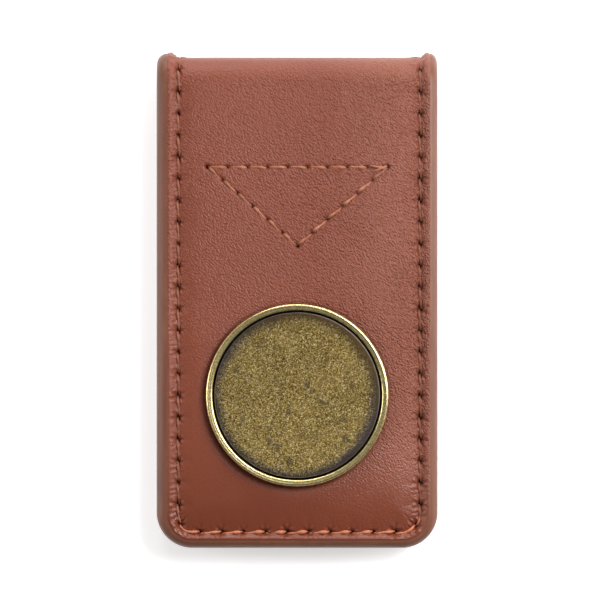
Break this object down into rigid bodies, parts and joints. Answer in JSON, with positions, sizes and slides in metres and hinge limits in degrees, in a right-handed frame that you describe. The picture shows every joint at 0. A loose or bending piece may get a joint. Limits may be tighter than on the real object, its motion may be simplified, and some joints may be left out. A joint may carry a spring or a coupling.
{
  "type": "money clip",
  "caption": "Magnetic folded leather money clip with a round antique brass cup that holds a lift-out ball marker.",
  "frame": {"origin": "middle of the clip's footprint, on the surface that the back leaf rests on", "axes": "+X across the clip, +Y along it towards the fold, +Z out of the front leaf, on the marker's side"},
  "size_m": [0.0432, 0.0762, 0.0102],
  "materials": {
    "outer_leather": "fine pebble grain, pull-up reddish brown, semi-gloss; smooth painted edges",
    "lining_leather": "smooth matt lining leather with painted edges",
    "thread": "twisted, waxed polyester sewing thread",
    "board": "pressed fibre board",
    "padding": "thin felt",
    "magnet": "nickel plated",
    "cup_brass": "antique brass, dark in the corners and rubbed bright on the rim",
    "marker_brass": "speckled antique brass with a blue-grey patina towards its edge",
    "washer_steel": "plain pressed steel"
  },
  "bodies": {
    "back_leaf": {"back_outer_leather": "outer_leather", "back_padding": "padding", "back_board": "board", "back_magnet": "magnet", "back_lining": "lining_leather", "back_seam_thread": "thread"},
    "fold_strip_1": {"fold_leather_1": "outer_leather", "fold_lining_1": "lining_leather", "fold_thread_1": "thread"},
    "fold_strip_2": {"fold_leather_2": "outer_leather", "fold_lining_2": "lining_leather", "fold_thread_2": "thread"},
    "front_leaf": {"front_outer_leather": "outer_leather", "front_padding": "padding", "front_board": "board", "front_magnet": "magnet", "front_lining": "lining_leather", "front_seam_thread": "thread", "triangle_thread": "thread", "cup_base": "cup_brass", "cup_rim": "cup_brass", "cup_washer": "washer_steel"},
    "marker": {"ball_marker": "marker_brass"}
  },
  "joints": [
    {"name": "fold_bend_1", "type": "hinge", "parent": "back_leaf", "child": "fold_strip_1", "pos_m": [0, 0.03565, 0.00117], "axis": [-1, 0, 0], "range_deg": [0, 58.5]},
    {"name": "fold_bend_2", "type": "hinge", "parent": "fold_strip_1", "child": "fold_strip_2", "pos_m": [0, 0.0374, 0.0042], "axis": [-1, 0, 0], "range_deg": [0, 58.5]},
    {"name": "leaf_opening", "type": "hinge", "parent": "fold_strip_2", "child": "front_leaf", "pos_m": [0, 0.03565, 0.00723], "axis": [-1, 0, 0], "range_deg": [0, 58.5]},
    {"name": "marker_lift", "type": "slide", "parent": "front_leaf", "child": "marker", "axis": [0, 0, 1], "range_m": [0, 0.012]}
  ],
  "couplings": [
    {"joint": "fold_bend_1", "follows": "leaf_opening", "ratio": 1},
    {"joint": "fold_bend_2", "follows": "leaf_opening", "ratio": 1}
  ]
}
